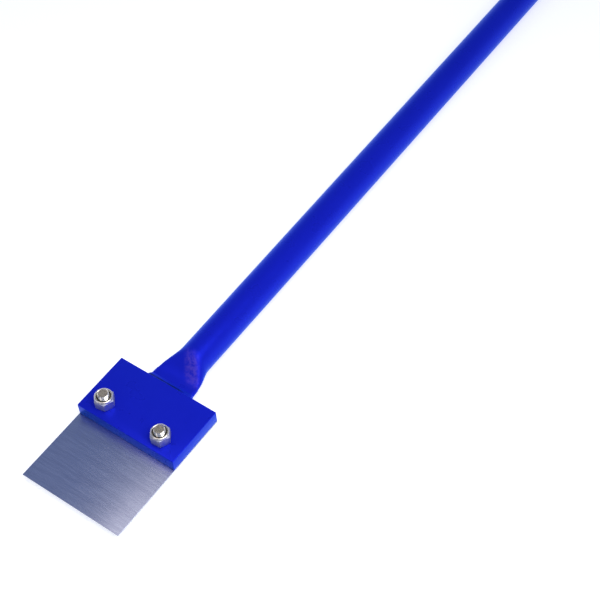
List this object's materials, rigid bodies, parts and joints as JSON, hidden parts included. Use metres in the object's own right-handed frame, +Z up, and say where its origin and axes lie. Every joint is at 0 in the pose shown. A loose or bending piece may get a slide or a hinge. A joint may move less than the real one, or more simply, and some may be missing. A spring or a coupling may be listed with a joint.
{
  "type": "algae scraper",
  "caption": "Long-handled algae scraper: a thin steel blade bolted under a flat clamp bar, on a steel tube whose end is pressed flat and welded to the bar.",
  "frame": {"origin": "centre of the bounding box in X and Y, on the plane that the two bolt heads' lowest faces lie in", "axes": "X across the blade, +Y from the cutting edge along the handle to its plugged end, +Z up out of the nuts' side"},
  "size_m": [0.1016, 1.2, 0.0374],
  "materials": {
    "blue_coating": "satin powder coating, faint orange peel",
    "blade_steel": "fine brushed, grain across the blade's width",
    "fastener_steel": "bright plated steel",
    "nylon": "smooth",
    "plug_plastic": "fine moulded texture"
  },
  "bodies": {
    "head_and_handle": {"clamp_bar": "blue_coating", "handle_tube": "blue_coating", "weld_bead": "blue_coating", "end_plug": "plug_plastic", "blade": "blade_steel", "washer_left": "fastener_steel", "washer_right": "fastener_steel"},
    "bolt_left": {"bolt_left": "fastener_steel"},
    "bolt_right": {"bolt_right": "fastener_steel"},
    "nut_left": {"nut_left": "fastener_steel", "nylon_ring_left": "nylon"},
    "nut_right": {"nut_right": "fastener_steel", "nylon_ring_right": "nylon"}
  },
  "joints": [
    {"name": "bolt_left_turn", "type": "hinge", "parent": "head_and_handle", "child": "bolt_left", "pos_m": [-0.032, -0.514, 0], "axis": [0, 0, -1], "range_deg": [0, 2880]},
    {"name": "bolt_right_turn", "type": "hinge", "parent": "head_and_handle", "child": "bolt_right", "pos_m": [0.0289, -0.5156, 0], "axis": [0, 0, -1], "range_deg": [0, 2880]},
    {"name": "nut_left_travel", "type": "slide", "parent": "head_and_handle", "child": "nut_left", "axis": [0, 0, 1], "range_m": [0, 0.01201]},
    {"name": "nut_right_travel", "type": "slide", "parent": "head_and_handle", "child": "nut_right", "axis": [0, 0, 1], "range_m": [0, 0.01201]}
  ],
  "couplings": [
    {"joint": "nut_left_travel", "follows": "bolt_left_turn", "m_per_rad": 0.00023873},
    {"joint": "nut_right_travel", "follows": "bolt_right_turn", "m_per_rad": 0.00023873}
  ]
}
